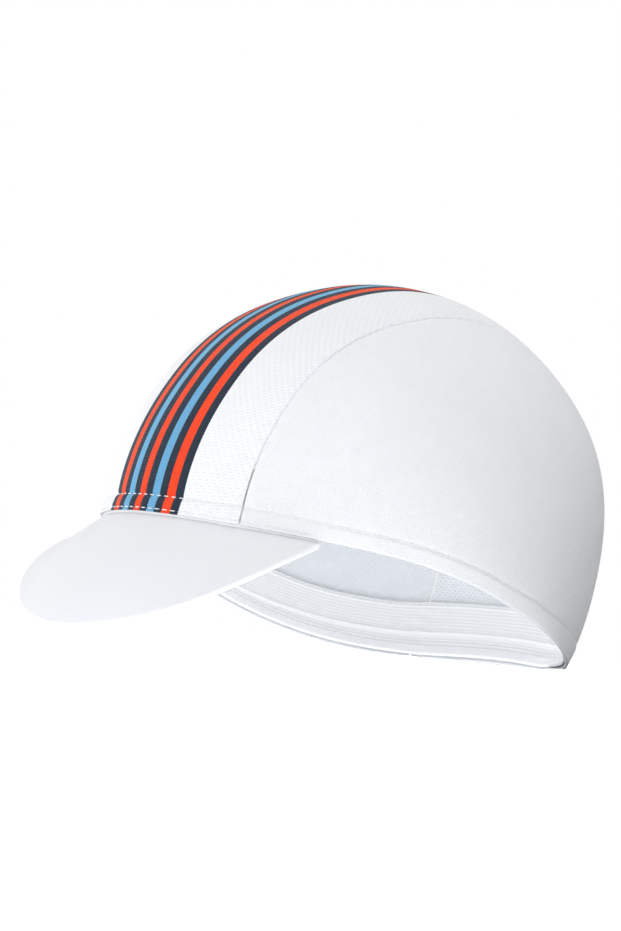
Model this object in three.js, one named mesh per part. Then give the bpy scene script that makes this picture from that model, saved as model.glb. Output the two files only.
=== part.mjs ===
// Cycling cap at its real size, in millimetres, +Z up, the peak to -Y and the wearer's left to +X.
// Three knit panels make the crown, a sweatband lines the hem and a stiffened cloth peak is sewn to
// the front. The forms are worked out as the cap is worn, from the middle of the ear line, and the
// whole cap is then set down on the tip of its peak and the nape of its hem.
import * as THREE from "three";

// Crown, from the middle of the ear line
const FRONT_REACH = 120.5;
const BACK_REACH = 82.5;
const SIDE_REACH = 82.5;
const CROWN_RISE = 99.9;

// Roundness of the crown's plan at the ear line: 2 is an ellipse, which every plan nears towards the
// top, and less draws its front together
const FRONT_ROUNDNESS = 1.86;
const BACK_ROUNDNESS = 2;

// Hem of the crown
const BROW_HEM_HEIGHT = 2.3;
const HEM_FALL = 33.9;
const HEM_STRIP = 6;
const HEM_FLARE = 1.8;

// Panels
const CENTRE_HALF_WIDTH = 36.4;
const CLOTH = 1.2;
const SEAM_GAP = 0.35;

// Sweatband
const BAND_HEIGHT = 20;
const BAND_THICKNESS = 1.1;
const BAND_GAP = 0.4;
const BAND_EDGE_LIFT = 1;

// Peak
const PEAK_LENGTH = 52.6;
const PEAK_HALF_ANGLE = radians(32.7);
const PEAK_THICKNESS = 1.8;
const PEAK_DROOP = radians(38.9);
const PEAK_SIDE_DROOP = radians(15.6);
const PEAK_CURL = radians(31.1);
const PEAK_FAN = 0.815;
const PEAK_ROUNDNESS = 1.84;
const PEAK_GAP = 0.45;

// How far the soft edges flatten where the cap stands on them
const REST_FLATTENING = 0.8;

// Girth of the crown at each elevation from the ear line, as shares of a plain ellipse through its
// reach and its rise: below 1 the cloth draws in under the head's widest line
const CROWN_SECTIONS = [
  { elevation: -60, front: 0.797, side: 0.842, back: 0.796 },
  { elevation: -30, front: 0.893, side: 0.956, back: 0.928 },
  { elevation: 0, front: 1, side: 1, back: 1 },
  { elevation: 30, front: 0.987, side: 1.018, back: 1.107 },
  { elevation: 60, front: 0.984, side: 0.996, back: 1.061 },
  { elevation: 90, front: 1, side: 1, back: 1 },
];

// Fall of the hem from the brow to the nape, along the reach to the front (-1) and to the back (1)
const HEM_SECTIONS = [
  { along: -1, fall: 0 },
  { along: -0.5, fall: 0.151 },
  { along: -0.25, fall: 0.317 },
  { along: 0, fall: 0.565 },
  { along: 0.5, fall: 0.917 },
  { along: 0.8, fall: 1 },
  { along: 1, fall: 0.932 },
];

// Width of the centre panel along the same reach, as shares of its width at the ear line
const SEAM_SECTIONS = [
  { along: -1, width: 0.883 },
  { along: -0.67, width: 0.953 },
  { along: -0.33, width: 0.993 },
  { along: 0, width: 1 },
  { along: 0.5, width: 0.974 },
  { along: 1, width: 0.915 },
];

// Soft hollows of the cloth: place in degrees, spread in radians and depth as a share of the side reach
const HOLLOWS = [
  { name: "left brow corner", azimuth: 28.4, elevation: 6.4, spread: 0.4, depth: 0.0703 },
  { name: "right brow corner", azimuth: -28.4, elevation: 6.4, spread: 0.4, depth: 0.0703 },
  { name: "slack behind the top", azimuth: 176, elevation: 62, spread: 0.22, depth: 0.014 },
];

// Counts of facets
const CENTRE_COLUMNS = 16;
const CENTRE_ROWS = 42;
const SIDE_COLUMNS = 38;
const SIDE_ROWS = 15;
const BAND_COLUMNS = 96;
const BAND_ROWS = 3;
const PEAK_COLUMNS = 30;
const PEAK_ROWS = 9;
const BISECTIONS = 40;

function radians(degrees) {
  return (degrees * Math.PI) / 180;
}

function degrees(angle) {
  return (angle * 180) / Math.PI;
}

// The middle of a narrowing interval where a rising function crosses zero
function crossing(low, high, rising) {
  for (let i = 0; i < BISECTIONS; i += 1) {
    const middle = (low + high) / 2;
    if (rising(middle) < 0) low = middle;
    else high = middle;
  }
  return (low + high) / 2;
}

// Evenly spaced shares from 0 to 1, drawn together near both ends by a sine
function shares(count, gathering = 0) {
  const turn = 2 * Math.PI;
  return Array.from({ length: count + 1 }, (_, i) => {
    const share = i / count;
    return share - (gathering * Math.sin(turn * share)) / turn;
  });
}

// A named column of a table, read smoothly between its rows by cubic pieces
function readColumn(rows, station, column, at) {
  const last = rows.length - 1;
  const place = THREE.MathUtils.clamp(at, rows[0][station], rows[last][station]);
  const i = Math.min(rows.findLastIndex((row) => row[station] <= place), last - 1);
  const slope = (k) => {
    const before = rows[Math.max(k - 1, 0)];
    const after = rows[Math.min(k + 1, last)];
    return (after[column] - before[column]) / (after[station] - before[station]);
  };
  const from = rows[i];
  const to = rows[i + 1];
  const step = to[station] - from[station];
  const t = (place - from[station]) / step;
  const endSlope = i + 1 === last ? 0 : slope(i + 1);
  return (
    (1 + 2 * t) * (1 - t) ** 2 * from[column] +
    t * (1 - t) ** 2 * step * slope(i) +
    t * t * (3 - 2 * t) * to[column] +
    t * t * (t - 1) * step * endSlope
  );
}

// Unit direction at an azimuth from the front towards the wearer's left, and an elevation
function direction(azimuth, elevation) {
  const level = Math.cos(elevation);
  return new THREE.Vector3(
    Math.sin(azimuth) * level,
    -Math.cos(azimuth) * level,
    Math.sin(elevation),
  );
}

// Distance from the middle of the ear line to the cloth in one direction
function crownRadius(towards) {
  const azimuth = Math.atan2(towards.x, -towards.y);
  const elevation = Math.asin(THREE.MathUtils.clamp(towards.z, -1, 1));
  const girth = (reach, column) =>
    readColumn(CROWN_SECTIONS, "elevation", column, degrees(elevation)) /
    Math.hypot(Math.cos(elevation) / reach, Math.sin(elevation) / CROWN_RISE);
  const side = girth(SIDE_REACH, "side");
  const end = towards.y < 0 ? girth(FRONT_REACH, "front") : girth(BACK_REACH, "back");
  const atHem = towards.y < 0 ? FRONT_ROUNDNESS : BACK_ROUNDNESS;
  const roundness = 2 + (atHem - 2) * Math.cos(elevation) ** 2;
  const lengthwise = Math.abs(Math.cos(azimuth) / end) ** roundness;
  const crosswise = Math.abs(Math.sin(azimuth) / side) ** roundness;
  const plain = (lengthwise + crosswise) ** (-1 / roundness);
  const sunk = HOLLOWS.reduce((sum, hollow) => {
    const middle = direction(radians(hollow.azimuth), radians(hollow.elevation));
    const away = towards.distanceTo(middle) / hollow.spread;
    return sum + hollow.depth * SIDE_REACH * Math.exp(-away * away);
  }, 0);
  return plain - sunk;
}

function onCrown(towards) {
  const unit = towards.clone().normalize();
  return unit.multiplyScalar(crownRadius(unit));
}

// Outward normal of the crown, by small steps across and along it
function crownNormal(point) {
  const unit = point.clone().normalize();
  const helper = Math.abs(unit.z) < 0.8 ? new THREE.Vector3(0, 0, 1) : new THREE.Vector3(0, 1, 0);
  const across = helper.cross(unit).normalize();
  const along = unit.clone().cross(across);
  const step = 0.01;
  const slope = (way) =>
    onCrown(unit.clone().addScaledVector(way, step)).sub(
      onCrown(unit.clone().addScaledVector(way, -step)),
    );
  return slope(across).cross(slope(along)).normalize();
}

function alongReach(y) {
  return y < 0 ? y / FRONT_REACH : y / BACK_REACH;
}

function hemHeight(y) {
  return BROW_HEM_HEIGHT - HEM_FALL * readColumn(HEM_SECTIONS, "along", "fall", alongReach(y));
}

function seamHalfWidth(y) {
  return CENTRE_HALF_WIDTH * readColumn(SEAM_SECTIONS, "along", "width", alongReach(y));
}

// The hem strip stands out over the root of the peak
function flared(point) {
  const azimuth = Math.atan2(point.x, -point.y);
  const share = Math.min(Math.abs(azimuth) / PEAK_HALF_ANGLE, 1);
  const height = Math.max(point.z - hemHeight(point.y), 0) / HEM_STRIP;
  const out = HEM_FLARE * Math.cos((share * Math.PI) / 2) * Math.max(1 - height, 0);
  return point.clone().addScaledVector(direction(azimuth, 0), out);
}

// A point of the cloth's outer face moved inwards by a depth
function inset(point, depth) {
  return flared(point).addScaledVector(crownNormal(point), -depth);
}

// The point of the crown at a height above the hem, on the meridian of an azimuth
function aboveHem(azimuth, height) {
  const elevation = crossing(radians(-60), radians(60), (angle) => {
    const point = onCrown(direction(azimuth, angle));
    return point.z - hemHeight(point.y) - height;
  });
  return onCrown(direction(azimuth, elevation));
}

// The point of the crown over a line parallel to the seam, at an angle that runs from the front over
// the top to the back; the line lies at a share of the panel's half width, plus an offset
function overTop(share, offset, angle) {
  const place = (radius) => {
    const y = -radius * Math.cos(angle);
    return new THREE.Vector3(share * seamHalfWidth(y) + offset, y, radius * Math.sin(angle));
  };
  const furthest = 2 * Math.max(FRONT_REACH, BACK_REACH, CROWN_RISE);
  const radius = crossing(0, furthest, (length) => {
    const point = place(length);
    return point.length() - crownRadius(point.clone().normalize());
  });
  return place(radius);
}

// Angles at which that line meets a level above the hem, in front and behind
function hemAngles(share, offset, height) {
  const above = (angle) => {
    const point = overTop(share, offset, angle);
    return point.z - hemHeight(point.y) - height;
  };
  const front = crossing(radians(-50), radians(90), above);
  const back = crossing(radians(-50), radians(90), (angle) => above(Math.PI - angle));
  return { front, back: Math.PI - back };
}

// A closed wall between two grids of points of the same size, the first one outside
function wallGeometry(outer, inner, wraps = false) {
  const rows = outer.length;
  const columns = outer[0].length;
  const points = [...outer.flat(), ...inner.flat()];
  const index = [];
  const at = (side, i, j) => side * rows * columns + i * columns + (j % columns);
  const quad = (a, b, c, d) => index.push(a, b, c, a, c, d);
  const spans = wraps ? columns : columns - 1;
  for (let j = 0; j < spans; j += 1) {
    for (let i = 0; i < rows - 1; i += 1) {
      quad(at(0, i, j), at(0, i, j + 1), at(0, i + 1, j + 1), at(0, i + 1, j));
      quad(at(1, i, j), at(1, i + 1, j), at(1, i + 1, j + 1), at(1, i, j + 1));
    }
    quad(at(0, 0, j), at(1, 0, j), at(1, 0, j + 1), at(0, 0, j + 1));
    const end = rows - 1;
    quad(at(0, end, j), at(0, end, j + 1), at(1, end, j + 1), at(1, end, j));
  }
  for (let i = 0; i < rows - 1 && !wraps; i += 1) {
    quad(at(0, i, 0), at(0, i + 1, 0), at(1, i + 1, 0), at(1, i, 0));
    const end = columns - 1;
    quad(at(0, i, end), at(1, i, end), at(1, i + 1, end), at(0, i + 1, end));
  }
  const geometry = new THREE.BufferGeometry();
  geometry.setAttribute(
    "position",
    new THREE.Float32BufferAttribute(points.flatMap((point) => point.toArray()), 3),
  );
  geometry.setIndex(index);
  return geometry;
}

function insetGrid(grid, depth) {
  return grid.map((row) => row.map((point) => inset(point, depth)));
}

// Centre panel: lines parallel to its seams, from the hem at the brow over the top to the nape
function centrePanel() {
  const lines = shares(CENTRE_COLUMNS).map((share) => {
    const across = 2 * share - 1;
    const { front, back } = hemAngles(across, 0, 0);
    return shares(CENTRE_ROWS, 0.75).map((along) =>
      overTop(across, 0, front + (back - front) * along),
    );
  });
  const grid = lines[0].map((_, i) => lines.map((line) => line[i]));
  return wallGeometry(insetGrid(grid, 0), insetGrid(grid, CLOTH));
}

// Side panel: the wearer's left one for a side of 1, the right one for -1. Each column runs from a
// point of the hem to a point of the seam, and the first and last ones run up the seam itself.
function sidePanel(side) {
  const corners = hemAngles(1, SEAM_GAP, 0);
  const starts = hemAngles(1, SEAM_GAP, HEM_STRIP);
  const azimuthAt = (angle) => {
    const corner = overTop(1, SEAM_GAP, angle);
    return Math.atan2(corner.x, -corner.y);
  };
  const from = azimuthAt(corners.front);
  const to = azimuthAt(corners.back);
  const columns = shares(SIDE_COLUMNS, 0.5).map((along) => {
    const low = aboveHem(from + (to - from) * along, 0);
    const high = overTop(1, SEAM_GAP, starts.front + (starts.back - starts.front) * along);
    return shares(SIDE_ROWS, 0.3).map((up) => {
      const point = onCrown(
        low.clone().normalize().multiplyScalar(1 - up).addScaledVector(high.clone().normalize(), up),
      );
      return point.multiply(new THREE.Vector3(side, 1, 1));
    });
  });
  if (side < 0) columns.reverse();
  const grid = columns[0].map((_, i) => columns.map((column) => column[i]));
  return wallGeometry(insetGrid(grid, 0), insetGrid(grid, CLOTH));
}

// Sweatband: a closed ring of ribbed cloth inside the hem
function sweatband() {
  const grid = shares(BAND_ROWS).map((up) =>
    Array.from({ length: BAND_COLUMNS }, (_, j) =>
      aboveHem((2 * Math.PI * j) / BAND_COLUMNS, BAND_EDGE_LIFT + BAND_HEIGHT * up),
    ),
  );
  const back = CLOTH + BAND_GAP;
  return wallGeometry(insetGrid(grid, back), insetGrid(grid, back + BAND_THICKNESS), true);
}

// Peak: straight across its root, fanning out and curling down along each line from the root
function peak() {
  const lines = shares(PEAK_COLUMNS).map((share) => {
    const across = Math.sin((share - 0.5) * Math.PI);
    const azimuth = across * PEAK_HALF_ANGLE;
    const hem = aboveHem(azimuth, 0);
    const root = inset(hem, CLOTH);
    root.z = flared(hem).z - PEAK_GAP;
    const outline = (1 - Math.abs(across) ** PEAK_ROUNDNESS) ** (1 / PEAK_ROUNDNESS);
    const length = PEAK_THICKNESS + (PEAK_LENGTH - PEAK_THICKNESS) * outline;
    const droop = PEAK_DROOP + (PEAK_SIDE_DROOP - PEAK_DROOP) * across * across;
    const bend = PEAK_CURL / PEAK_LENGTH;
    const heading = direction(azimuth * PEAK_FAN, 0);
    const up = new THREE.Vector3(0, 0, 1);
    return shares(PEAK_ROWS).map((out) => {
      const angle = droop + bend * length * out;
      const reach = (Math.sin(angle) - Math.sin(droop)) / bend;
      const drop = (Math.cos(droop) - Math.cos(angle)) / bend;
      const top = root.clone().addScaledVector(heading, reach).addScaledVector(up, -drop);
      const normal = heading.clone().multiplyScalar(Math.sin(angle));
      normal.addScaledVector(up, Math.cos(angle));
      return { top, under: top.clone().addScaledVector(normal, -PEAK_THICKNESS) };
    });
  });
  const gridOf = (face) => lines[0].map((_, i) => lines.map((line) => line[i][face]));
  return wallGeometry(gridOf("under"), gridOf("top"));
}

// Places of all corners of some geometries
function cornersOf(geometries) {
  return geometries.flatMap((geometry) => {
    const position = geometry.getAttribute("position");
    return Array.from({ length: position.count }, (_, i) =>
      new THREE.Vector3().fromBufferAttribute(position, i),
    );
  });
}

// Turns the worn cap until its peak and its nape touch one level, sets it down on that level with
// its edges flattened there, and centres it over the origin
function setDown(geometries) {
  const corners = cornersOf(geometries);
  const nape = corners.filter((point) => point.y > 0);
  const brow = corners.filter((point) => point.y < 0);
  const lowest = (points, tilt) =>
    Math.min(...points.map((point) => point.z * Math.cos(tilt) + point.y * Math.sin(tilt)));
  const tilt = crossing(
    radians(-30),
    radians(30),
    (angle) => lowest(nape, angle) - lowest(brow, angle),
  );
  const turn = new THREE.Matrix4().makeRotationX(tilt);
  geometries.forEach((geometry) => geometry.applyMatrix4(turn));
  const box = new THREE.Box3().setFromPoints(cornersOf(geometries));
  const middle = box.getCenter(new THREE.Vector3());
  geometries.forEach((geometry) => {
    geometry.translate(-middle.x, -middle.y, -box.min.z - REST_FLATTENING);
    const position = geometry.getAttribute("position");
    for (let i = 0; i < position.count; i += 1) {
      position.setZ(i, Math.max(position.getZ(i), 0));
    }
    geometry.computeVertexNormals();
  });
}

// Colours of the knit, the ribbed band and the peak's cloth
const KNIT = { color: 0xeceef1, roughness: 0.85, metalness: 0 };
const RIBBED = { color: 0xf0f1f2, roughness: 0.9, metalness: 0 };
const PEAK_CLOTH = { color: 0xe9ebee, roughness: 0.8, metalness: 0 };

const pieces = [
  { name: "centre_panel", geometry: centrePanel(), finish: KNIT },
  { name: "left_side_panel", geometry: sidePanel(1), finish: KNIT },
  { name: "right_side_panel", geometry: sidePanel(-1), finish: KNIT },
  { name: "sweatband", geometry: sweatband(), finish: RIBBED },
  { name: "peak", geometry: peak(), finish: PEAK_CLOTH },
];
setDown(pieces.map((piece) => piece.geometry));

const cap = new THREE.Group();
cap.name = "cycling_cap";
pieces.forEach(({ name, geometry, finish }) => {
  const mesh = new THREE.Mesh(geometry, new THREE.MeshStandardMaterial(finish));
  mesh.name = name;
  cap.add(mesh);
});

export default cap;
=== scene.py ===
import math

import bpy
import numpy as np
from mathutils import Matrix, Vector


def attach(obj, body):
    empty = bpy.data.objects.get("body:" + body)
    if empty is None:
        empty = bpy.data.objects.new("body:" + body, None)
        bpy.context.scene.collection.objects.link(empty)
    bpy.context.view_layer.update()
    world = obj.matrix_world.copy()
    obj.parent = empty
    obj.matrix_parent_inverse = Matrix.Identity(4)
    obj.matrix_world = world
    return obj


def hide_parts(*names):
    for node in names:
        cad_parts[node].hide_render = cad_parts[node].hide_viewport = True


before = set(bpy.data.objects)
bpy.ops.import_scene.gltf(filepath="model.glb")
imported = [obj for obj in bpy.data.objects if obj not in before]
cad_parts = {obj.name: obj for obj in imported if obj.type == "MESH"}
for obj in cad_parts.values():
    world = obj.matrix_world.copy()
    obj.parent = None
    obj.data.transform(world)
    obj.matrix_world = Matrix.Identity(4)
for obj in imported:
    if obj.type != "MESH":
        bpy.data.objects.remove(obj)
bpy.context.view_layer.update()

# Centre panel: one length of printed diagonal knit from the brow over the top to the nape. It is
# turned up at the brow into a double hem strip, held by two rows of stitches, and is sewn between
# the side panels, so this section also holds the form of the whole worn crown.
FRONT_REACH, BACK_REACH, SIDE_REACH, CROWN_RISE = 0.1205, 0.0825, 0.0825, 0.0999
FRONT_ROUNDNESS, BACK_ROUNDNESS = 1.86, 2.0
BROW_HEM_HEIGHT, HEM_FALL = 0.0023, 0.0339
HEM_STRIP, HEM_FLARE, PEAK_HALF_ANGLE = 0.006, 0.0018, math.radians(32.7)
CENTRE_HALF_WIDTH, CLOTH, SEAM_GAP = 0.0364, 0.0012, 0.00035

# Columns: elevation in degrees, then girth shares at the front, side and back
CROWN_SECTIONS = np.array([
    [-60, 0.797, 0.842, 0.796],
    [-30, 0.893, 0.956, 0.928],
    [0, 1, 1, 1],
    [30, 0.987, 1.018, 1.107],
    [60, 0.984, 0.996, 1.061],
    [90, 1, 1, 1],
])
# Columns: place along the reach, from the brow at -1 to the nape at 1, then the share there
HEM_SECTIONS = np.array(
    [[-1, 0], [-0.5, 0.151], [-0.25, 0.317], [0, 0.565], [0.5, 0.917], [0.8, 1], [1, 0.932]]
)
SEAM_SECTIONS = np.array(
    [[-1, 0.883], [-0.67, 0.953], [-0.33, 0.993], [0, 1], [0.5, 0.974], [1, 0.915]]
)
# Columns: azimuth and elevation in degrees, spread in radians, depth as a share of the side reach
HOLLOWS = np.array(
    [[28.4, 6.4, 0.4, 0.0703], [-28.4, 6.4, 0.4, 0.0703], [176, 62, 0.22, 0.014]]
)

# The worn cap tips by this many radians to stand on its peak and the hem beside the nape, and moves
# by this many metres
STANCE_TILT = -0.045035407
STANCE_SHIFT = np.array([0, 0.031995472, 0.033758315])


def read_sections(rows, at):
    """The value at a station: a cubic between the rows on both sides of it, whose slope at each row
    is that of the line through the row's neighbours, and level at the last row."""
    stations, values = rows[:, 0], rows[:, 1]
    last = len(stations) - 1
    order = np.arange(last + 1)
    before, after = np.maximum(order - 1, 0), np.minimum(order + 1, last)
    slopes = (values[after] - values[before]) / (stations[after] - stations[before])
    slopes[last] = 0
    place = np.clip(at, stations[0], stations[last])
    i = np.clip(np.searchsorted(stations, place, side="right") - 1, 0, last - 1)
    step = stations[i + 1] - stations[i]
    t = (place - stations[i]) / step
    return (
        (1 + 2 * t) * (1 - t) ** 2 * values[i]
        + t * (1 - t) ** 2 * step * slopes[i]
        + t * t * (3 - 2 * t) * values[i + 1]
        + t * t * (t - 1) * step * slopes[i + 1]
    )


def crossing(low, high, rising):
    """Where a rising function meets zero, by halving the interval again and again."""
    for _ in range(36):
        middle = (low + high) / 2
        below = rising(middle) < 0
        low, high = np.where(below, middle, low), np.where(below, high, middle)
    return (low + high) / 2


def unit(vectors):
    """Each vector divided by its length."""
    return vectors / np.linalg.norm(vectors, axis=-1, keepdims=True)


def direction(azimuth, elevation):
    """(sin a cos e, -cos a cos e, sin e): the azimuth runs from the brow to the wearer's left."""
    azimuth, elevation = np.broadcast_arrays(azimuth, elevation)
    level = np.cos(elevation)
    return np.stack([np.sin(azimuth) * level, -np.cos(azimuth) * level, np.sin(elevation)], -1)


def crown_radius(towards):
    """Distance from the middle of the ear line to the cloth. At each elevation the plan is a
    rounded oval, (cos a / end)^n + (sin a / side)^n = r^-n, with n near 2 towards the top, less a
    smooth round hollow at each named place."""
    azimuth = np.arctan2(towards[..., 0], -towards[..., 1])
    elevation = np.arcsin(np.clip(towards[..., 2], -1, 1))
    at_front = towards[..., 1] < 0

    def girth(reach, column):
        share = read_sections(CROWN_SECTIONS[:, [0, column]], np.degrees(elevation))
        return share / np.hypot(np.cos(elevation) / reach, np.sin(elevation) / CROWN_RISE)

    end = np.where(at_front, girth(FRONT_REACH, 1), girth(BACK_REACH, 3))
    at_hem = np.where(at_front, FRONT_ROUNDNESS, BACK_ROUNDNESS)
    roundness = 2 + (at_hem - 2) * np.cos(elevation) ** 2
    lengthwise = np.abs(np.cos(azimuth) / end) ** roundness
    crosswise = np.abs(np.sin(azimuth) / girth(SIDE_REACH, 2)) ** roundness
    radius = (lengthwise + crosswise) ** (-1 / roundness)
    for place, height, spread, depth in HOLLOWS:
        hollow = direction(math.radians(place), math.radians(height))
        away = np.linalg.norm(towards - hollow, axis=-1)
        radius = radius - depth * SIDE_REACH * np.exp(-((away / spread) ** 2))
    return radius


def on_crown(towards):
    """The point of the cloth in a direction."""
    towards = unit(towards)
    return towards * crown_radius(towards)[..., None]


# Half the span over which the slope of the crown is read, as a share of its radius
NORMAL_STEP = 0.01


def crown_normal(points):
    """Outward normal: the cross product of small steps across and along the crown."""
    out = unit(points)
    steep = np.abs(out[..., 2:]) >= 0.8
    across = unit(np.cross(np.where(steep, [0.0, 1, 0], [0.0, 0, 1]), out))
    along = np.cross(out, across)
    return unit(np.cross(
        on_crown(out + across * NORMAL_STEP) - on_crown(out - across * NORMAL_STEP),
        on_crown(out + along * NORMAL_STEP) - on_crown(out - along * NORMAL_STEP),
    ))


def along_reach(y):
    """-1 at the brow, 0 over the ears and 1 at the nape."""
    return np.where(y < 0, y / FRONT_REACH, y / BACK_REACH)


def hem_height(y):
    """The level of the hem's edge, which falls from the brow to the nape."""
    return BROW_HEM_HEIGHT - HEM_FALL * read_sections(HEM_SECTIONS, along_reach(y))


def seam_half_width(y):
    """Half the width of the centre panel."""
    return CENTRE_HALF_WIDTH * read_sections(SEAM_SECTIONS, along_reach(y))


# Elevations between which the hem is looked for, and the farthest that cloth lies from the middle
LOWEST_HEM, LOWEST_END, STRAIGHT_UP = math.radians(-60), math.radians(-50), math.radians(90)
NEAREST, FARTHEST = 1e-4, 0.25


def above_hem(azimuth, height):
    """The point of the crown at a height above the hem, on the meridian of an azimuth."""
    azimuth, height = np.broadcast_arrays(azimuth, height)

    def above(elevation):
        point = on_crown(direction(azimuth, elevation))
        return point[..., 2] - hem_height(point[..., 1]) - height

    low = np.full(azimuth.shape, LOWEST_HEM)
    return on_crown(direction(azimuth, crossing(low, -low, above)))


def over_top(share, offset, angle):
    """The point of the crown over a line that keeps a share of the panel's half width, plus an
    offset, at an angle that runs from the brow over the top to the nape."""
    share, angle = np.broadcast_arrays(share, angle)

    def place(radius):
        y = -radius * np.cos(angle)
        return np.stack([share * seam_half_width(y) + offset, y, radius * np.sin(angle)], -1)

    def outside(radius):
        point = place(radius)
        return np.linalg.norm(point, axis=-1) - crown_radius(unit(point))

    return place(crossing(np.full(angle.shape, NEAREST), np.full(angle.shape, FARTHEST), outside))


def hem_angles(share, offset, height):
    """The two angles at which that line meets a level above the hem."""

    def above(angle):
        point = over_top(share, offset, angle)
        return point[..., 2] - hem_height(point[..., 1]) - height

    low, high = np.full(share.shape, LOWEST_END), np.full(share.shape, STRAIGHT_UP)
    front = crossing(low, high, above)
    back = crossing(low, high, lambda angle: above(math.pi - angle))
    return front, math.pi - back


def valley(distance, width):
    """1 in the middle of a groove, falling away on both sides as exp(-(d / w)^2)."""
    return np.exp(-((distance / width) ** 2))


def smooth_step(value, low, high):
    """0 below low, 1 above high, and 3t^2 - 2t^3 between."""
    t = np.clip((value - low) / (high - low), 0, 1)
    return t * t * (3 - 2 * t)


# Columns: place along the reach, then the height above the hem of the stitch row that holds the
# turned-up edge
ROW_SECTIONS = np.array([[-1, 0.006], [-0.4, 0.006], [0, 0.0068], [0.5, 0.0085], [1, 0.009]])
LOWER_ROW, SEAM_ALLOWANCE, BROW_DEPTH = 0.0012, 0.0055, 0.04
# Depths and half widths of what the sewing leaves in the cloth
DOUBLE_PROUD, DOUBLE_BELOW, DOUBLE_ABOVE = 0.00035, 0.0003, 0.0009
ROW_GROOVE, ROW_WIDTH = 0.0006, 0.0007
LOWER_GROOVE, LOWER_WIDTH, PEAK_END = 0.0004, 0.0006, 0.15
ALLOWANCE_PROUD = 0.0004
SEAM_GROOVE, SEAM_WIDTH = 0.00045, 0.0013
PUCKER, PUCKER_PITCH, PUCKER_WIDTH = 0.00013, 0.0067, 0.004
RIPPLE, RIPPLE_WIDTH, RIPPLE_TURN, RIPPLE_BEAT = 0.00012, 0.004, 0.11, 13
HEAD_RADIUS = 0.1


def sewn(points):
    """The worn cloth's outer face with its sewing: the hem strip stands out over the peak, the
    turned-up edge is a little proud, stitch rows and seams lie in grooves, and the seams pucker."""
    normal = crown_normal(points)
    x, y, z = np.moveaxis(points, -1, 0)
    azimuth = np.arctan2(x, -y)
    height = np.maximum(z - hem_height(y), 0)
    over_peak = np.cos(np.clip(azimuth / PEAK_HALF_ANGLE, -1, 1) * math.pi / 2)
    flare = HEM_FLARE * over_peak * np.maximum(1 - height / HEM_STRIP, 0)
    row = read_sections(ROW_SECTIONS, along_reach(y))
    double = 1 - smooth_step(height, row - DOUBLE_BELOW, row + DOUBLE_ABOVE)
    to_seam = np.abs(np.abs(x) - seam_half_width(y))
    at_brow = smooth_step(-y, 0, BROW_DEPTH)
    relief = DOUBLE_PROUD * double
    relief -= ROW_GROOVE * valley(height - row, ROW_WIDTH)
    lower_row = valley(height - LOWER_ROW, LOWER_WIDTH) * smooth_step(over_peak, 0.0, PEAK_END)
    relief -= LOWER_GROOVE * lower_row
    inside_strip = (np.abs(x) < seam_half_width(y)) & (to_seam < SEAM_ALLOWANCE)
    relief += ALLOWANCE_PROUD * inside_strip * double * at_brow
    relief -= SEAM_GROOVE * valley(to_seam, SEAM_WIDTH) * (1 - double)
    along = np.arctan2(z, -y) * HEAD_RADIUS
    puckers = np.sin(along * 2 * math.pi / PUCKER_PITCH) * valley(to_seam, PUCKER_WIDTH)
    relief += PUCKER * puckers
    ripple = np.sin(azimuth * 2 * math.pi / RIPPLE_TURN) * np.cos(azimuth * RIPPLE_BEAT + 1)
    relief += RIPPLE * ripple * valley(height - row, RIPPLE_WIDTH)
    flared = points + direction(azimuth, 0) * flare[..., None]
    return flared + normal * relief[..., None], normal


def set_down(points):
    """The worn cap turned about X by the stance's tilt t and moved by its shift:
    y' = y cos t - z sin t, z' = y sin t + z cos t, and nothing below the level it stands on."""
    cosine, sine = math.cos(STANCE_TILT), math.sin(STANCE_TILT)
    turn = np.array([[1, 0, 0], [0, cosine, -sine], [0, sine, cosine]])
    placed = points @ turn.T + STANCE_SHIFT
    placed[..., 2] = np.maximum(placed[..., 2], 0)
    return placed


# Shares of a rounded rim at which the lines stand
RIM_STATIONS = np.array([0, 0.08, 0.3, 0.6])


def gathered_lines(length, steps, rim):
    """Shares from 0 to 1 over a length: close together on the rounded rims, then as the steps say,
    a list of (distance from the start, spacing) pairs that ends at the far side."""
    close = rim * RIM_STATIONS
    parts, start = [close], rim
    for end, spacing in steps:
        count = max(int(round((end - start) / spacing)), 1)
        parts.append(np.linspace(start, end, count, endpoint=False))
        start = end
    parts.append(length - close[::-1])
    parts.insert(-1, [length - rim])
    return np.concatenate(parts) / length


MILLIMETRES = 1000


def new_piece(name, points, quads, place=None, outside=None):
    """A mesh from arrays of corners and four-sided faces, with the cloth's own coordinates in
    millimetres as its UV map and a mark of 1 on its outer face."""
    mesh = bpy.data.meshes.new(name)
    mesh.from_pydata(points, [], quads)
    if place is not None:
        layer = mesh.uv_layers.new(name="cloth")
        layer.data.foreach_set("uv", place[quads.ravel()].astype(np.float32).ravel())
    if outside is not None:
        mark = mesh.attributes.new("outside", "FLOAT", "POINT")
        mark.data.foreach_set("value", outside.astype(np.float32))
    mesh.update()
    mesh.shade_smooth()
    piece = bpy.data.objects.new(name, mesh)
    bpy.context.scene.collection.objects.link(piece)
    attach(piece, "root")
    return piece


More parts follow.
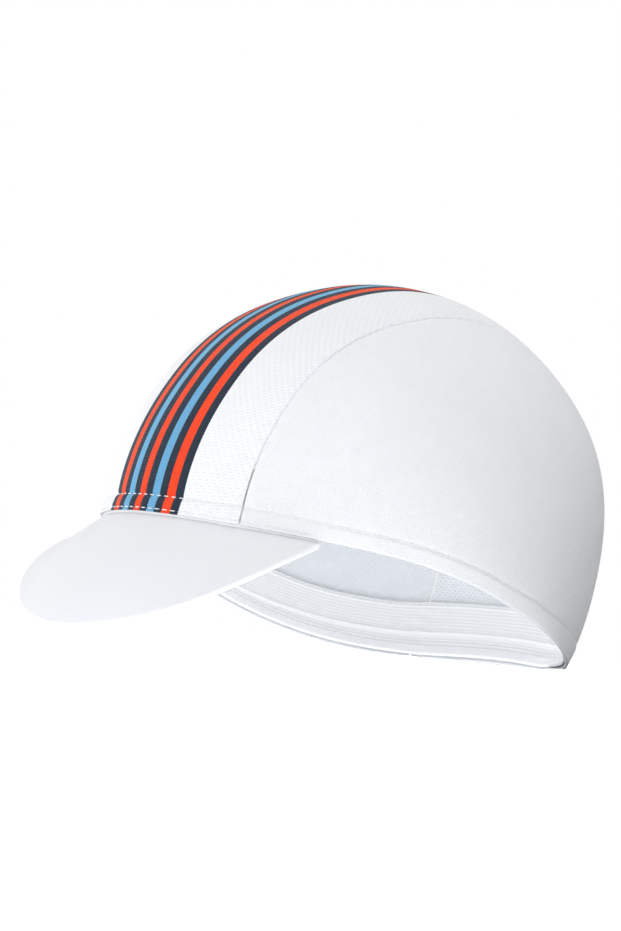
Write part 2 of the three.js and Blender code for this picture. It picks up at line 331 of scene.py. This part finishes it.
def cloth_wall(name, face, normal, thickness, place, ring=False, inner_relief=None):
    """A closed wall behind a grid of points of its outer face. At a distance d from the edge both
    faces stand h sqrt(1 - (1 - d/h)^2) from its middle, with h half the thickness, which rounds the
    edge."""
    rows, columns = face.shape[:2]
    half = thickness / 2

    def from_edges(axis):
        step = np.linalg.norm(np.diff(face, axis=axis), axis=-1)
        start = np.zeros_like(np.take(step, [0], axis))
        run = np.concatenate([start, np.cumsum(step, axis)], axis)
        return np.minimum(run, run.max(axis, keepdims=True) - run)

    edge = from_edges(0) if ring else np.minimum(from_edges(0), from_edges(1))
    proud = half * np.sqrt(1 - (1 - np.clip(edge / half, 0, 1)) ** 2)
    middle = face - normal * half
    outer = middle + normal * proud[..., None]
    depth = proud if inner_relief is None else proud + inner_relief * (proud > 0.99 * half)
    inner = middle - normal * depth[..., None]
    front = np.arange(rows * columns).reshape(rows, columns)
    back = np.where(edge <= 0, front, front + rows * columns)

    def quads(index, turned):
        left = index if ring else index[:, :-1]
        right = np.roll(index, -1, 1) if ring else index[:, 1:]
        corners = [left[:-1], right[:-1], right[1:], left[1:]]
        return np.stack(corners[::-1] if turned else corners, -1).reshape(-1, 4)

    i, j = rows // 2, columns // 2
    facing = np.cross(face[i, j + 1] - face[i, j], face[i + 1, j] - face[i, j])
    turned = np.dot(facing, normal[i, j]) < 0
    faces = np.concatenate([quads(front, turned), quads(back, not turned)])
    used, faces = np.unique(faces, return_inverse=True)
    points = set_down(np.concatenate([outer.reshape(-1, 3), inner.reshape(-1, 3)]))[used]
    marks = np.repeat([1.0, 0.0], rows * columns)[used]
    places = np.tile(place.reshape(-1, 2), (2, 1))[used] * MILLIMETRES
    return new_piece(name, points, faces.reshape(-1, 4), places, marks)


def linear(red, green, blue):
    """A screen colour of 0 to 255 as the light it stands for."""
    shares = np.array([red, green, blue]) / 255
    light = np.where(shares > 0.04045, ((shares + 0.055) / 1.055) ** 2.4, shares / 12.92)
    return (*light.tolist(), 1.0)


def place_nodes(tree, *rows):
    """Adds nodes to a tree, each given as (name, kind, settings, inputs), where an input is a plain
    value or a (node, output) pair that it is linked from."""
    for name, kind, settings, inputs in rows:
        node = tree.nodes.new(kind)
        node.name = name
        for key, value in settings.items():
            setattr(node, key, value)
        for key, value in inputs.items():
            if isinstance(value, tuple) and isinstance(value[0], str):
                tree.links.new(tree.nodes[value[0]].outputs[value[1]], node.inputs[key])
            else:
                node.inputs[key].default_value = value


def node_group(name, inputs, outputs, *rows):
    """A group of shader nodes with named inputs and outputs."""
    group = bpy.data.node_groups.new(name, "ShaderNodeTree")
    for socket, kind, value in inputs:
        made = group.interface.new_socket(socket, in_out="INPUT", socket_type=kind)
        if value is not None:
            made.default_value = value
    for socket, kind in outputs:
        group.interface.new_socket(socket, in_out="OUTPUT", socket_type=kind)
    place_nodes(group, ("In", "NodeGroupInput", {}, {}), *rows)
    return group


def maths(name, operation, *values):
    """A Math node for place_nodes, with its inputs in order."""
    return name, "ShaderNodeMath", {"operation": operation}, dict(enumerate(values))


def multiplied(name, factor, first, second):
    """A node for place_nodes that multiplies two colours, as far as a factor says."""
    inputs = {"Factor": factor, "A": first, "B": second}
    return name, "ShaderNodeMix", {"data_type": "RGBA", "blend_type": "MULTIPLY"}, inputs


# Knit of fine holes in staggered rows: cos(pi u / p) cos(pi v / q), where it is above zero, on the
# cloth's own coordinates in millimetres, turned by a slant, with fuzz of the yarn over it
knit_group = node_group(
    "open knit",
    [
        ("Across", "NodeSocketFloat", 0.8),
        ("Along", "NodeSocketFloat", 0.8),
        ("Slant", "NodeSocketFloat", 0.0),
    ],
    [("Hole", "NodeSocketFloat"), ("Height", "NodeSocketFloat")],
    ("Place", "ShaderNodeUVMap", {"uv_map": "cloth"}, {}),
    ("Wander", "ShaderNodeTexNoise", {}, {"Vector": ("Place", 0), "Scale": 0.35, "Detail": 2.0}),
    ("Shift", "ShaderNodeVectorMath", {"operation": "MULTIPLY_ADD"},
     {0: ("Wander", "Color"), 1: (0.5, 0.5, 0.0), 2: ("Place", 0)}),
    ("Turned", "ShaderNodeVectorRotate", {"rotation_type": "Z_AXIS"},
     {"Vector": ("Shift", 0), "Angle": ("In", "Slant")}),
    ("Split", "ShaderNodeSeparateXYZ", {}, {0: ("Turned", 0)}),
    maths("U", "MULTIPLY", ("Split", 0), math.pi),
    maths("V", "MULTIPLY", ("Split", 1), math.pi),
    maths("U turn", "DIVIDE", ("U", 0), ("In", "Across")),
    maths("V turn", "DIVIDE", ("V", 0), ("In", "Along")),
    maths("U wave", "COSINE", ("U turn", 0)),
    maths("V wave", "COSINE", ("V turn", 0)),
    maths("Both", "MULTIPLY", ("U wave", 0), ("V wave", 0)),
    maths("Hole", "MAXIMUM", ("Both", 0), 0.0),
    ("Fuzz", "ShaderNodeTexNoise", {}, {"Vector": ("Place", 0), "Scale": 1.6, "Detail": 3.0}),
    maths("Solid", "SUBTRACT", 1.0, ("Hole", 0)),
    maths("Height", "MULTIPLY_ADD", ("Fuzz", "Fac"), 1.3, ("Solid", 0)),
    ("Out", "NodeGroupOutput", {}, {"Hole": ("Hole", 0), "Height": ("Height", 0)}),
)

# Slow change of tone over cloth that has been handled and washed
tone_group = node_group(
    "cloth tone",
    [("Colour", "NodeSocketColor", None), ("Depth", "NodeSocketFloat", 0.05)],
    [("Colour", "NodeSocketColor")],
    ("Place", "ShaderNodeTexCoord", {}, {}),
    ("Cloud", "ShaderNodeTexNoise", {},
     {"Vector": ("Place", "Object"), "Scale": 28.0, "Detail": 3.0}),
    maths("Less", "MULTIPLY", ("Cloud", "Fac"), ("In", "Depth")),
    maths("Share", "SUBTRACT", 1.0, ("Less", 0)),
    multiplied("Toned", 1.0, ("In", "Colour"), ("Share", 0)),
    ("Out", "NodeGroupOutput", {}, {"Colour": ("Toned", "Result")}),
)

# Painted shade: the outer face is greyed as far as it looks down, which darkens edges where the
# cloth turns under
down_shade_group = node_group(
    "painted shade facing down",
    [("Colour", "NodeSocketColor", None), ("Shade grey", "NodeSocketColor", linear(196, 198, 203))],
    [("Colour", "NodeSocketColor")],
    ("Place", "ShaderNodeNewGeometry", {}, {}),
    ("Split", "ShaderNodeSeparateXYZ", {}, {0: ("Place", "Normal")}),
    ("Down", "ShaderNodeMapRange", {"interpolation_type": "SMOOTHSTEP"},
     {"Value": ("Split", 2), "From Min": -0.5, "From Max": -0.85}),
    ("Outside", "ShaderNodeAttribute", {"attribute_name": "outside"}, {}),
    maths("Shade share", "MULTIPLY", ("Down", 0), ("Outside", "Fac")),
    multiplied("Shaded", ("Shade share", 0), ("In", "Colour"), ("In", "Shade grey")),
    ("Out", "NodeGroupOutput", {}, {"Colour": ("Shaded", "Result")}),
)

# How far light goes through the cloth
LIGHT_DEPTH = 0.0005


def cloth_material(name, group_rows, colour, height, bump):
    """A matt cloth: its colour and height come from the nodes given, and toned colour, painted
    shade where the outer face looks down, bump and Principled shader follow them."""
    material = bpy.data.materials.new(name)
    material.use_nodes = True
    tree = material.node_tree
    tree.nodes.clear()
    place_nodes(
        tree,
        *group_rows,
        ("Tone", "ShaderNodeGroup", {"node_tree": tone_group}, {"Colour": colour}),
        # Painted shade: the colour is greyed where the outer face looks down
        ("Painted down shade", "ShaderNodeGroup", {"node_tree": down_shade_group}, {"Colour": ("Tone", "Colour")}),
        ("Bump", "ShaderNodeBump", {}, {"Height": height, "Distance": bump, "Strength": 1.0}),
        ("Cloth", "ShaderNodeBsdfPrincipled", {},
         {"Base Color": ("Painted down shade", "Colour"), "Normal": ("Bump", 0), "Roughness": 0.85,
          "Subsurface Weight": 1.0, "Subsurface Radius": (1.0, 1.0, 1.0),
          "Subsurface Scale": LIGHT_DEPTH, "Sheen Weight": 0.1, "Sheen Roughness": 0.5,
          "Specular IOR Level": 0.2}),
        ("Output", "ShaderNodeOutputMaterial", {}, {"Surface": ("Cloth", "BSDF")}),
    )
    return material


# The print: eleven bands of one width across the middle of the panel
STRIPES_WIDTH = 0.0324
PRINT_SPAN = STRIPES_WIDTH * MILLIMETRES
FIRST_BAND, LAST_BAND = 0.25, 0.75
NAVY, SKY, ORANGE = linear(43, 56, 72), linear(112, 174, 214), linear(252, 78, 38)
BANDS = [NAVY, ORANGE, NAVY, SKY, NAVY, ORANGE, NAVY, SKY, NAVY, ORANGE, NAVY]
WHITE = linear(240, 242, 245)
KNIT_BUMP = 0.00014

centre_knit = cloth_material(
    "printed diagonal knit",
    [
        ("Knit", "ShaderNodeGroup", {"node_tree": knit_group},
         {"Across": 0.62, "Along": 1.9, "Slant": math.radians(62)}),
        ("Place", "ShaderNodeUVMap", {"uv_map": "cloth"}, {}),
        ("Split", "ShaderNodeSeparateXYZ", {}, {0: ("Place", 0)}),
        ("Across", "ShaderNodeMapRange", {},
         {"Value": ("Split", 0), "From Min": -PRINT_SPAN, "From Max": PRINT_SPAN}),
        ("Bands", "ShaderNodeValToRGB", {}, {"Fac": ("Across", 0)}),
        ("Outside", "ShaderNodeAttribute", {"attribute_name": "outside"}, {}),
        ("Printed", "ShaderNodeMix", {"data_type": "RGBA"},
         {"Factor": ("Outside", "Fac"), "A": WHITE, "B": ("Bands", "Color")}),
        # Painted shade in the knit's holes: the colour darkens where the holes are
        multiplied("Painted hole shade", ("Knit", "Hole"), ("Printed", "Result"), (0.9, 0.91, 0.92, 1.0)),
    ],
    ("Painted hole shade", "Result"), ("Knit", "Height"), KNIT_BUMP,
)
ramp = centre_knit.node_tree.nodes["Bands"].color_ramp
ramp.interpolation = "CONSTANT"
ramp.elements[0].color = WHITE
ramp.elements[1].position = LAST_BAND
ramp.elements[1].color = WHITE
for band, colour in enumerate(BANDS):
    start = FIRST_BAND + (LAST_BAND - FIRST_BAND) * band / len(BANDS)
    ramp.elements.new(start).color = colour

# The grid's lines stand closer in the sewn edges than between them
LINE_SPACING, EDGE_SPACING, LONG_SPACING = 0.0014, 0.0004, 0.0015
PANEL_WIDTH, PANEL_LENGTH, SEWN_EDGE, RIM = 0.0746, 0.33, 0.0115, CLOTH / 2
across = 2 * gathered_lines(PANEL_WIDTH, [(PANEL_WIDTH - RIM, LINE_SPACING)], RIM) - 1
front, back = hem_angles(across, 0, 0)
over = gathered_lines(PANEL_LENGTH, [
    (SEWN_EDGE, EDGE_SPACING),
    (PANEL_LENGTH - SEWN_EDGE, LONG_SPACING),
    (PANEL_LENGTH - RIM, EDGE_SPACING),
], RIM)
angles = front + (back - front) * over[:, None]
worn = over_top(across, 0, angles)
face, normal = sewn(worn)
middle_line = worn[:, len(across) // 2]
length = np.concatenate([[0], np.cumsum(np.linalg.norm(np.diff(middle_line, axis=0), axis=-1))])
place = np.stack(np.broadcast_arrays(worn[..., 0], length[:, None]), -1)
centre = cloth_wall("centre_panel_cloth", face, normal, CLOTH, place)
centre.data.materials.append(centre_knit)
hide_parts("centre_panel")

# Side panels: two pieces of the same white knit with its holes in upright columns. Each is shaped
# to the head, its hem is turned up and stitched, and its curved edge is sewn to the centre panel.
side_knit = cloth_material(
    "white eyelet knit",
    [
        ("Knit", "ShaderNodeGroup", {"node_tree": knit_group}, {"Across": 0.55, "Along": 0.8}),
        # Painted shade in the knit's holes: the colour darkens where the holes are
        multiplied("Painted hole shade", ("Knit", "Hole"), WHITE, (0.91, 0.92, 0.93, 1.0)),
    ],
    ("Painted hole shade", "Result"), ("Knit", "Height"), KNIT_BUMP,
)

SIDE_LENGTH, SIDE_HEIGHT, SIDE_EDGE, SIDE_EDGE_SPACING = 0.25, 0.14, 0.013, 0.0005
SIDE_MIDDLE = unit(np.array([1.0, -0.05, 0.35]))


def side_panel(name, node, side):
    """Columns from a point of the hem to a point of the seam, along great circles of directions.
    The cloth's own coordinates are turn and heading from the panel's middle, as lengths."""
    one = np.array([1.0])
    low_front, low_back = (over_top(1, SEAM_GAP, a)[0] for a in hem_angles(one, SEAM_GAP, 0))
    starts = np.concatenate(hem_angles(one, SEAM_GAP, HEM_STRIP))
    azimuths = [math.atan2(point[0], -point[1]) for point in (low_front, low_back)]
    along = gathered_lines(SIDE_LENGTH, [(SIDE_LENGTH - RIM, LINE_SPACING)], RIM)
    along = along - 0.5 * np.sin(2 * math.pi * along) / (2 * math.pi)
    steps = [(SIDE_EDGE, SIDE_EDGE_SPACING), (SIDE_HEIGHT - RIM, LONG_SPACING)]
    up = gathered_lines(SIDE_HEIGHT, steps, RIM)
    low = above_hem(azimuths[0] + (azimuths[1] - azimuths[0]) * along, 0)
    high = over_top(1, SEAM_GAP, starts[0] + (starts[1] - starts[0]) * along)
    worn = on_crown(unit(low) * (1 - up[:, None, None]) + unit(high) * up[:, None, None])
    face, normal = sewn(worn)
    upright = unit(np.array([0, 0, 1.0]) - SIDE_MIDDLE * SIDE_MIDDLE[2])
    level = np.cross(upright, SIDE_MIDDLE)
    out = unit(worn)
    turn = np.arccos(np.clip(out @ SIDE_MIDDLE, -1, 1))
    spoke = unit(np.stack([out @ level, out @ upright], -1) + 1e-9)
    place = spoke * turn[..., None] * np.linalg.norm(worn, axis=-1)[..., None]
    mirror = np.array([side, 1, 1])
    piece = cloth_wall(name, face * mirror, normal * mirror, CLOTH, place)
    piece.data.materials.append(side_knit)
    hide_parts(node)
    return piece


left_side = side_panel("left_side_cloth", "left_side_panel", 1)
right_side = side_panel("right_side_cloth", "right_side_panel", -1)

# Brow tape: a strip of thin white cloth over the sewn edge of the peak, pressed flat behind the
# brow between the centre panel and the sweatband.
TAPE, TAPE_BELOW, TAPE_ABOVE, TAPE_GAP = 0.0003, 0.0022, 0.008, 0.00004
plain_white = cloth_material(
    "plain white cloth",
    [("Weave", "ShaderNodeGroup", {"node_tree": knit_group}, {"Across": 0.3, "Along": 0.3})],
    WHITE, ("Weave", "Height"), 0.00004,
)


def behind(points, depth):
    """Points of the crown's outer face moved inwards by a depth."""
    face, normal = sewn(points)
    return face - normal * depth, normal


azimuth = np.linspace(-PEAK_HALF_ANGLE, PEAK_HALF_ANGLE, 90)
height = np.linspace(-TAPE_BELOW, TAPE_ABOVE, 16)[:, None]
below_hem = above_hem(azimuth, 0.0) + height[..., None] * [0, 0, 1.0]
strip = np.where(height[..., None] < 0, below_hem, above_hem(azimuth, np.maximum(height, 0)))
face, normal = behind(strip, CLOTH + TAPE_GAP)
place = np.stack(np.broadcast_arrays(azimuth * HEAD_RADIUS, height), -1)
brow_tape = cloth_wall("brow_tape", face, normal, TAPE, place)
brow_tape.data.materials.append(plain_white)

# Sweatband: a closed ring of white ribbed knit inside the hem, with elastic in it. Its lower edge
# is turned up and stitched, fine ribs run round it, and its upper edge is bound and stitched down.
BAND_HEIGHT, BAND_THICKNESS, BAND_GAP, BAND_EDGE_LIFT = 0.02, 0.0011, 0.0004, 0.001
BAND_HEM, BAND_BINDING, RIB, BAND_SPACING, BAND_RADIUS = 0.0048, 0.0022, 0.00125, 0.00024, 0.088
RIB_PROUD, BAND_HEM_PROUD, BINDING_PROUD = 0.0001, 0.00035, 0.0004
BAND_GROOVE, BAND_GROOVE_WIDTH, HEM_SOFTNESS, BINDING_SOFTNESS = 0.0003, 0.0004, 0.0003, 0.0002
# Heights over the band's lower edge: the foot of its binding and both stitch rows
BINDING_FOOT = BAND_HEIGHT - BAND_BINDING
BAND_ROWS = BAND_HEM - 0.0009, BAND_HEIGHT - BAND_BINDING / 2
BAND_WHITE = linear(243, 244, 246)
azimuth = np.linspace(0, 2 * math.pi, 420, endpoint=False)
rim = BAND_THICKNESS / 2
up = gathered_lines(BAND_HEIGHT, [(BAND_HEIGHT - rim, BAND_SPACING)], rim)
rise = (up * BAND_HEIGHT)[:, None]
face, normal = behind(above_hem(azimuth, BAND_EDGE_LIFT + rise), CLOTH + BAND_GAP)
in_hem = 1 - smooth_step(rise, BAND_HEM - HEM_SOFTNESS, BAND_HEM + HEM_SOFTNESS)
in_binding = smooth_step(rise, BINDING_FOOT - BINDING_SOFTNESS, BINDING_FOOT + BINDING_SOFTNESS)
ribs = (0.5 - 0.5 * np.cos(2 * math.pi * rise / RIB)) * (1 - in_hem) * (1 - in_binding)
relief = RIB_PROUD * ribs + BAND_HEM_PROUD * in_hem + BINDING_PROUD * in_binding
for row in BAND_ROWS:
    relief = relief - BAND_GROOVE * valley(rise - row, BAND_GROOVE_WIDTH)
relief = np.broadcast_to(relief, face.shape[:2])
place = np.stack(np.broadcast_arrays(azimuth * BAND_RADIUS, rise), -1)
band = cloth_wall(
    "sweatband_rib", face, normal, BAND_THICKNESS, place, ring=True, inner_relief=relief
)
band_rib = cloth_material(
    "ribbed elastic knit",
    [
        ("Knit", "ShaderNodeGroup", {"node_tree": knit_group}, {"Across": 0.6, "Along": 0.62}),
        # Painted shade in the knit's holes: the colour darkens where the holes are
        multiplied("Painted hole shade", ("Knit", "Hole"), BAND_WHITE, (0.93, 0.935, 0.94, 1.0)),
    ],
    ("Painted hole shade", "Result"), ("Knit", "Height"), 0.00008,
)
band.data.materials.append(band_rib)
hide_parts("sweatband")

# Peak: a stiff insert covered on both sides with smooth white cloth, turned and pressed. Its root
# is sewn under the hem strip; it fans out from the brow and curls down along each line from there.
PEAK_LENGTH, PEAK_THICKNESS, PEAK_GAP = 0.0526, 0.0018, 0.00045
PEAK_DROOP, PEAK_SIDE_DROOP = math.radians(38.9), math.radians(15.6)
PEAK_CURL, PEAK_FAN, PEAK_ROUNDNESS = math.radians(31.1), 0.815, 1.84
PEAK_WIDTH, PEAK_FAR_RIM, PEAK_SPACING = 0.15, 0.1491, 0.0012
PEAK_EDGE, PEAK_EDGE_SPACING = 0.004, 0.0005
rim = PEAK_THICKNESS / 2
turns = gathered_lines(PEAK_WIDTH, [(PEAK_FAR_RIM, PEAK_SPACING)], rim)
across = np.sin((turns - 0.5) * math.pi)
steps = [(PEAK_LENGTH - PEAK_EDGE, PEAK_SPACING), (PEAK_LENGTH - rim, PEAK_EDGE_SPACING)]
out = gathered_lines(PEAK_LENGTH, steps, rim)[:, None]
azimuth = across * PEAK_HALF_ANGLE
hem_line = above_hem(azimuth, 0.0)
shelf = hem_line + direction(azimuth, 0) * (HEM_FLARE * np.cos(across * math.pi / 2))[:, None]
root = shelf - crown_normal(hem_line) * CLOTH
root[:, 2] = shelf[:, 2] - PEAK_GAP
outline = np.maximum(1 - np.abs(across) ** PEAK_ROUNDNESS, 0) ** (1 / PEAK_ROUNDNESS)
length = PEAK_THICKNESS + (PEAK_LENGTH - PEAK_THICKNESS) * outline
droop = PEAK_DROOP + (PEAK_SIDE_DROOP - PEAK_DROOP) * across**2
bend = PEAK_CURL / PEAK_LENGTH
angle = droop + bend * length * out
reach = (np.sin(angle) - np.sin(droop)) / bend
drop = (np.cos(droop) - np.cos(angle)) / bend
heading = direction(azimuth * PEAK_FAN, 0)
upwards = np.array([0, 0, 1.0])
face = root + heading * reach[..., None] - upwards * drop[..., None]
normal = heading * np.sin(angle)[..., None] + upwards * np.cos(angle)[..., None]
place = np.stack(np.broadcast_arrays(face[..., 0], length * out), -1)
peak = cloth_wall("peak_cover", face, normal, PEAK_THICKNESS, place)
peak_cloth = cloth_material(
    "smooth white cloth",
    [("Weave", "ShaderNodeGroup", {"node_tree": knit_group}, {"Across": 0.35, "Along": 0.35})],
    linear(231, 233, 237), ("Weave", "Height"), 0.00003,
)
peak.data.materials.append(peak_cloth)
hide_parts("peak")

# Stitches: white polyester thread, one row round the whole hem, a second close over the peak, and
# one on each edge of the sweatband. Each stitch is a short arch of thread that dips at both ends.
THREAD, STITCH, PITCH = 0.00022, 0.0021, 0.0029
STATIONS, SIDES, DIP, NARROWEST = 6, 6, 0.35, 0.06


def stitch_row(points, normal, closed):
    """Corners and faces of a row: the path is cut into equal pitches, and along each stitch the
    thread stands THREAD (4 t (1 - t) - DIP) proud, with a round section that is narrower at both
    ends."""
    if closed:
        points = np.concatenate([points, points[:1]])
        normal = np.concatenate([normal, normal[:1]])
    run = np.concatenate([[0], np.cumsum(np.linalg.norm(np.diff(points, axis=0), axis=-1))])
    count = int(run[-1] / PITCH)
    t = np.linspace(0, 1, STATIONS)
    stations = (np.arange(count)[:, None] + 0.5) * run[-1] / count + (t - 0.5) * STITCH
    centre = np.stack([np.interp(stations, run, points[:, k]) for k in range(3)], -1)
    out = unit(np.stack([np.interp(stations, run, normal[:, k]) for k in range(3)], -1))
    tangent = unit(np.gradient(centre, axis=1))
    beside = np.cross(tangent, out)
    arch = THREAD * (4 * t * (1 - t) - DIP)
    radius = THREAD * np.sqrt(np.maximum(1 - (2 * t - 1) ** 2, NARROWEST))
    turn = np.arange(SIDES)[:, None] * 2 * math.pi / SIDES
    ring = out[..., None, :] * np.cos(turn) + beside[..., None, :] * np.sin(turn)
    corners = (centre + out * arch[:, None])[..., None, :] + ring * radius[:, None, None]
    index = np.arange(count * STATIONS * SIDES).reshape(count, STATIONS, SIDES)
    following = np.roll(index, -1, 2)
    sides = np.stack([index[:, :-1], following[:, :-1], following[:, 1:], index[:, 1:]], -1)
    start, end = index[:, 0], index[:, -1]
    caps = [start[:, [3, 2, 1, 0]], start[:, [5, 4, 3, 0]]]
    caps += [end[:, [0, 1, 2, 3]], end[:, [0, 3, 4, 5]]]
    return corners.reshape(-1, 3), np.concatenate([sides.reshape(-1, 4), *caps])


def stitched(name, rows):
    """All the rows of one piece as one mesh."""
    counts = np.cumsum([0] + [len(corners) for corners, _ in rows])
    corners = np.concatenate([corners for corners, _ in rows])
    quads = np.concatenate([faces + first for (_, faces), first in zip(rows, counts)])
    piece = new_piece(name, set_down(corners), quads)
    piece.data.materials.append(thread)
    return piece


thread = bpy.data.materials.new("white thread")
thread.use_nodes = True
thread.node_tree.nodes.clear()
place_nodes(
    thread.node_tree,
    ("Place", "ShaderNodeTexCoord", {}, {}),
    ("Twist", "ShaderNodeTexWave", {"bands_direction": "DIAGONAL"},
     {"Vector": ("Place", "Object"), "Scale": 900.0, "Distortion": 1.0}),
    ("Bump", "ShaderNodeBump", {}, {"Height": ("Twist", "Fac"), "Distance": 0.00003}),
    # Painted shade along the twist: grey in its grooves, near white on its crests
    ("Shade", "ShaderNodeMix", {"data_type": "RGBA"},
     {"Factor": ("Twist", "Fac"), "A": linear(232, 234, 238), "B": linear(250, 251, 252)}),
    ("Thread", "ShaderNodeBsdfPrincipled", {},
     {"Base Color": ("Shade", "Result"), "Normal": ("Bump", 0), "Roughness": 0.55}),
    ("Output", "ShaderNodeOutputMaterial", {}, {"Surface": ("Thread", "BSDF")}),
)

# The second row stops short of both ends of the peak
ROW_END = 0.92
round_head = np.linspace(0, 2 * math.pi, 1200, endpoint=False)
reach = along_reach(above_hem(round_head, 0.0)[:, 1])
upper_row = above_hem(round_head, read_sections(ROW_SECTIONS, reach))
lower_row = above_hem(np.linspace(-ROW_END, ROW_END, 400) * PEAK_HALF_ANGLE, LOWER_ROW)
rows = [stitch_row(*sewn(upper_row), True), stitch_row(*sewn(lower_row), False)]
hem_stitches = stitched("hem_stitches", rows)

rows = []
for rise, proud in zip(BAND_ROWS, (0.00005, 0.0001)):
    depth = CLOTH + BAND_GAP + BAND_THICKNESS + proud
    points, normal = behind(above_hem(round_head, BAND_EDGE_LIFT + rise), depth)
    rows.append(stitch_row(points, -normal, True))
band_stitches = stitched("sweatband_stitches", rows)

# Room: a plain pale floor that glows as a lit white table does, and a camera low over it


def stage_prop(name, corners, faces, paint_name, shade):
    """A flat-faced thing of the stage in matt paint, and the inputs of that paint's shader."""
    mesh = bpy.data.meshes.new(name)
    mesh.from_pydata(corners, [], faces)
    prop = bpy.data.objects.new(name, mesh)
    bpy.context.scene.collection.objects.link(prop)
    paint = bpy.data.materials.new(paint_name)
    paint.use_nodes = True
    surface = paint.node_tree.nodes["Principled BSDF"].inputs
    surface["Base Color"].default_value = (shade, shade, shade, 1)
    surface["Roughness"].default_value = 0.9
    mesh.materials.append(paint)
    return prop, surface


FLOOR_REACH, FLOOR_DROP = 30, 0.0002
corners = [(x * FLOOR_REACH, y * FLOOR_REACH, 0) for x, y in ((-1, -1), (1, -1), (1, 1), (-1, 1))]
floor, pale = stage_prop("floor", corners, [(0, 1, 2, 3)], "pale floor", 0.93)
floor.location.z = -FLOOR_DROP
pale["Specular IOR Level"].default_value = 0.1
pale["Emission Color"].default_value = (1, 1, 1, 1)
pale["Emission Strength"].default_value = 0.93

# The middle of the ear line is seen at the aim, in pixels from the picture's upper left corner
CAMERA_AZIMUTH, CAMERA_ELEVATION, CAMERA_ROLL = np.radians([42.73, -1.079, -5.54]).tolist()
CAMERA_DISTANCE, PIXELS_PER_METRE, AIM = 1.5, 2747.5, (369.1, 559.7)
FRAME_WIDTH, FRAME_HEIGHT, SENSOR = 621, 931, 36
back = Vector(direction(CAMERA_AZIMUTH, CAMERA_ELEVATION).tolist())
right = Vector((math.cos(CAMERA_AZIMUTH), math.sin(CAMERA_AZIMUTH), 0))
upright = back.cross(right)
lean = Matrix.Rotation(-CAMERA_ROLL, 3, back)
right, upright = lean @ right, lean @ upright
ear_line = Vector(STANCE_SHIFT.tolist())
camera = bpy.data.objects.new("camera", bpy.data.cameras.new("camera"))
bpy.context.scene.collection.objects.link(camera)
camera.location = ear_line + back * CAMERA_DISTANCE
target = ear_line + right * ((FRAME_WIDTH / 2 - AIM[0]) / PIXELS_PER_METRE)
target += upright * ((AIM[1] - FRAME_HEIGHT / 2) / PIXELS_PER_METRE)
away = (camera.location - target).normalized()
level = upright.cross(away).normalized()
camera.rotation_mode = "QUATERNION"
camera.rotation_quaternion = Matrix((level, away.cross(level), away)).transposed().to_quaternion()
camera.data.sensor_width = SENSOR
camera.data.lens = SENSOR * PIXELS_PER_METRE * CAMERA_DISTANCE / FRAME_HEIGHT
camera.data.clip_start, camera.data.clip_end = 0.05, 100
bpy.context.scene.camera = camera

# Light: a large soft lamp high in front and a little to the left, and walls that are brighter above
key = bpy.data.objects.new("key lamp", bpy.data.lights.new("key lamp", "AREA"))
bpy.context.scene.collection.objects.link(key)
LAMP_SIZE, LAMP_POWER, LAMP_NEARER, LAMP_LEFT, LAMP_UP = 1.2, 6.5, 1.1, 0.2, 1.5
key.data.shape, key.data.size, key.data.energy = "DISK", LAMP_SIZE, LAMP_POWER
spot = Vector((0, 0, 0.07))
key.location = spot + back * LAMP_NEARER - right * LAMP_LEFT + Vector((0, 0, LAMP_UP))
key.rotation_mode = "QUATERNION"
key.rotation_quaternion = (key.location - spot).to_track_quat("Z", "Y")

# A grey card, bent along its foot, lies just over the floor to the right of the cap and stands up
# beside it. It is out of the picture and keeps light off the cap's right side.
CARD_NEAR, CARD_FAR, CARD_DEPTH, CARD_FOOT, CARD_HEIGHT = 0.091, 0.16, 0.6, 0.001, 0.45
profile = [(CARD_NEAR, CARD_FOOT), (CARD_FAR, CARD_FOOT), (CARD_FAR, CARD_HEIGHT)]
corners = [
    (*(right * reach + back * side).xy, height)
    for side in (-CARD_DEPTH / 2, CARD_DEPTH / 2) for reach, height in profile
]
card, _ = stage_prop("grey card", corners, [(0, 1, 4, 3), (1, 2, 5, 4)], "grey card", 0.7)
card.visible_camera = False

# The walls' light, and how much more comes from the left, from above and from the camera's side
WALL_LIGHT, FROM_LEFT, FROM_ABOVE, FROM_FRONT = 0.45, 0.03, 0.46, 0.03
slope = Vector((0, 0, FROM_ABOVE)) - right * FROM_LEFT + back * FROM_FRONT
world = bpy.data.worlds.new("room")
bpy.context.scene.world = world
world.use_nodes = True
place_nodes(
    world.node_tree,
    ("Place", "ShaderNodeTexCoord", {}, {}),
    ("Side", "ShaderNodeVectorMath", {"operation": "DOT_PRODUCT"},
     {0: ("Place", "Generated"), 1: tuple(slope)}),
    maths("Light", "ADD", ("Side", "Value"), WALL_LIGHT),
    ("Ray", "ShaderNodeLightPath", {}, {}),
    ("Strength", "ShaderNodeMix", {},
     {"Factor": ("Ray", "Is Camera Ray"), "A": ("Light", 0), "B": 1.0}),
)
sky = world.node_tree.nodes["Background"].inputs
sky["Color"].default_value = (1, 1, 1, 1)
world.node_tree.links.new(world.node_tree.nodes["Strength"].outputs[0], sky["Strength"])
bpy.context.scene.view_settings.view_transform = "Standard"
